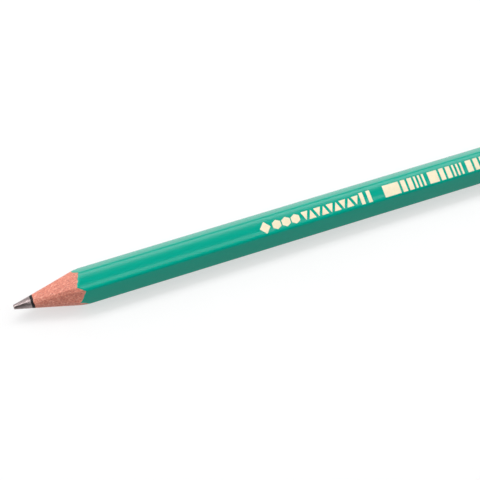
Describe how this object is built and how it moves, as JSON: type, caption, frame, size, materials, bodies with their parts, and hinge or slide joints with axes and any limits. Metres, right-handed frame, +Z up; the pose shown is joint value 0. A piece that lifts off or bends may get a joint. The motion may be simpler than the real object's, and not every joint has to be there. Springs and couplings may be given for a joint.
{
  "type": "graphite pencil",
  "caption": "Hexagonal resin pencil sharpened to a blunt point: graphite core, black bonding layer, wood-coloured barrel, green skin and cream foil marks.",
  "frame": {"origin": "on the resting flat at z = 0, midway along the pencil and on its centre line", "axes": "+X along the pencil from the point to the plain rear end, +Z up through the stamped flat, +Y across the pencil from ridge to ridge"},
  "size_m": [0.175, 0.0078, 0.007],
  "materials": {
    "graphite_core": "polymer-bonded graphite, burnished by the sharpener, with a soft grey sheen",
    "black_bond": "matt black",
    "foamed_resin": "pinkish-tan foamed resin that imitates wood, matt, finely speckled where cut",
    "green_skin": "smooth satin-gloss green",
    "cream_foil": "opaque cream stamping foil, satin"
  },
  "bodies": {
    "root": {"lead": "graphite_core", "bonding_sleeve": "black_bond", "barrel": "foamed_resin", "outer_skin": "green_skin", "foil_bar_1": "cream_foil", "foil_bar_2": "cream_foil", "foil_hexagon_1": "cream_foil", "foil_hexagon_2": "cream_foil", "foil_hexagon_3": "cream_foil", "foil_lozenge": "cream_foil", "foil_stripe_01": "cream_foil", "foil_stripe_02": "cream_foil", "foil_stripe_03": "cream_foil", "foil_stripe_04": "cream_foil", "foil_stripe_05": "cream_foil", "foil_stripe_06": "cream_foil", "foil_stripe_07": "cream_foil", "foil_stripe_08": "cream_foil", "foil_stripe_09": "cream_foil", "foil_stripe_10": "cream_foil", "foil_stripe_11": "cream_foil", "foil_stripe_12": "cream_foil", "foil_stripe_13": "cream_foil", "foil_stripe_14": "cream_foil", "foil_stripe_15": "cream_foil", "foil_stripe_16": "cream_foil", "foil_stripe_17": "cream_foil", "foil_stripe_18": "cream_foil", "foil_triangle_1": "cream_foil", "foil_triangle_2": "cream_foil", "foil_triangle_3": "cream_foil", "foil_triangle_4": "cream_foil", "foil_triangle_5": "cream_foil", "foil_triangle_6": "cream_foil", "foil_triangle_7": "cream_foil", "foil_triangle_8": "cream_foil", "foil_triangle_9": "cream_foil"}
  },
  "joints": []
}
